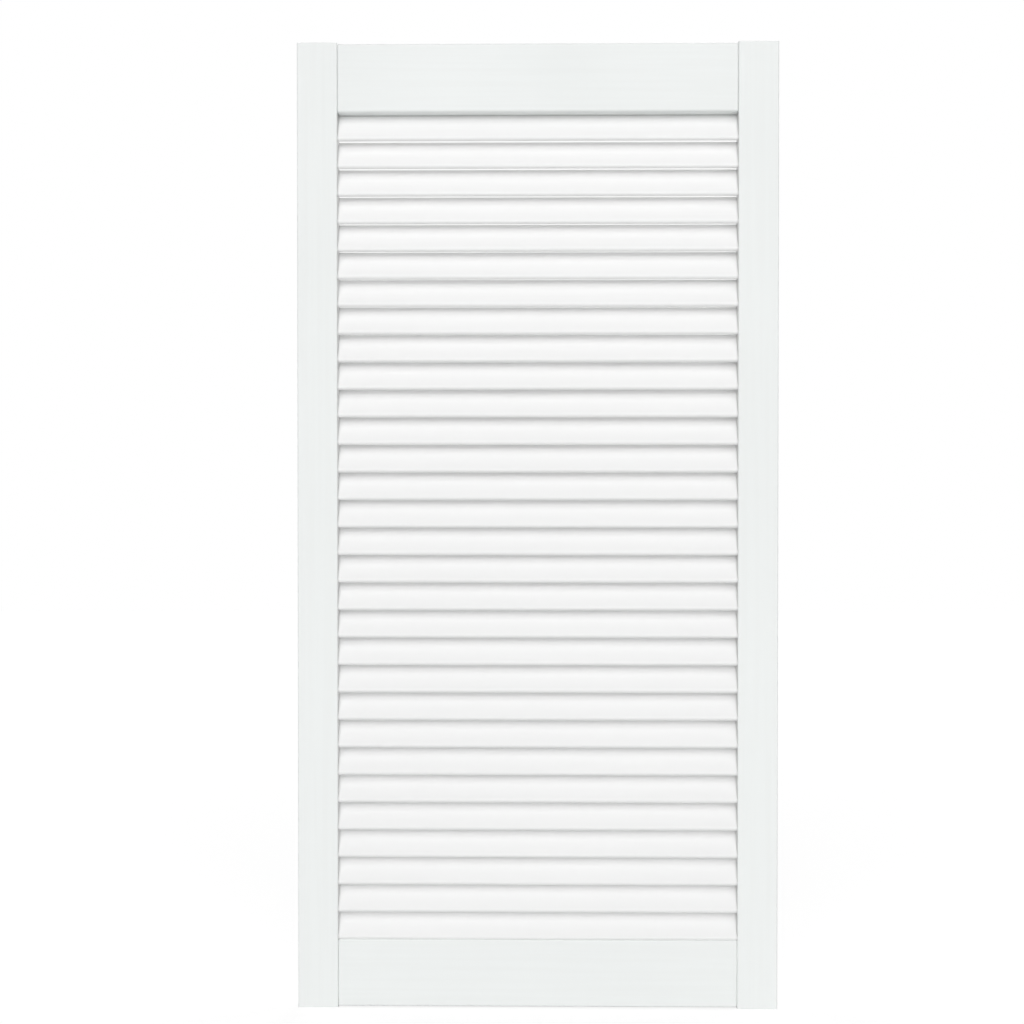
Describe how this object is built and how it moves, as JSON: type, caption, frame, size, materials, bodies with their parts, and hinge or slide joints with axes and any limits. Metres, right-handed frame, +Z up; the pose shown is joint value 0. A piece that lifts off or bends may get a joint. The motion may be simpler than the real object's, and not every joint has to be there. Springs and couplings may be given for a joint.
{
  "type": "louvred door",
  "caption": "Painted softwood louvred door leaf: stiles and rails around fixed sloping slats that let air through and block the view.",
  "frame": {"origin": "foot of the hinge edge, half way through the thickness", "axes": "+X across the leaf from the hinge edge to the closing edge, +Y from front to back, +Z up"},
  "size_m": [0.494, 0.021, 0.993],
  "materials": {
    "frame_paint": "satin white paint",
    "slat_paint": "satin white paint"
  },
  "bodies": {
    "root": {"left_stile": "frame_paint", "right_stile": "frame_paint", "bottom_rail": "frame_paint", "top_rail": "frame_paint", "slat_01": "slat_paint", "slat_02": "slat_paint", "slat_03": "slat_paint", "slat_04": "slat_paint", "slat_05": "slat_paint", "slat_06": "slat_paint", "slat_07": "slat_paint", "slat_08": "slat_paint", "slat_09": "slat_paint", "slat_10": "slat_paint", "slat_11": "slat_paint", "slat_12": "slat_paint", "slat_13": "slat_paint", "slat_14": "slat_paint", "slat_15": "slat_paint", "slat_16": "slat_paint", "slat_17": "slat_paint", "slat_18": "slat_paint", "slat_19": "slat_paint", "slat_20": "slat_paint", "slat_21": "slat_paint", "slat_22": "slat_paint", "slat_23": "slat_paint", "slat_24": "slat_paint", "slat_25": "slat_paint", "slat_26": "slat_paint", "slat_27": "slat_paint", "slat_28": "slat_paint", "slat_29": "slat_paint", "slat_30": "slat_paint"}
  },
  "joints": []
}
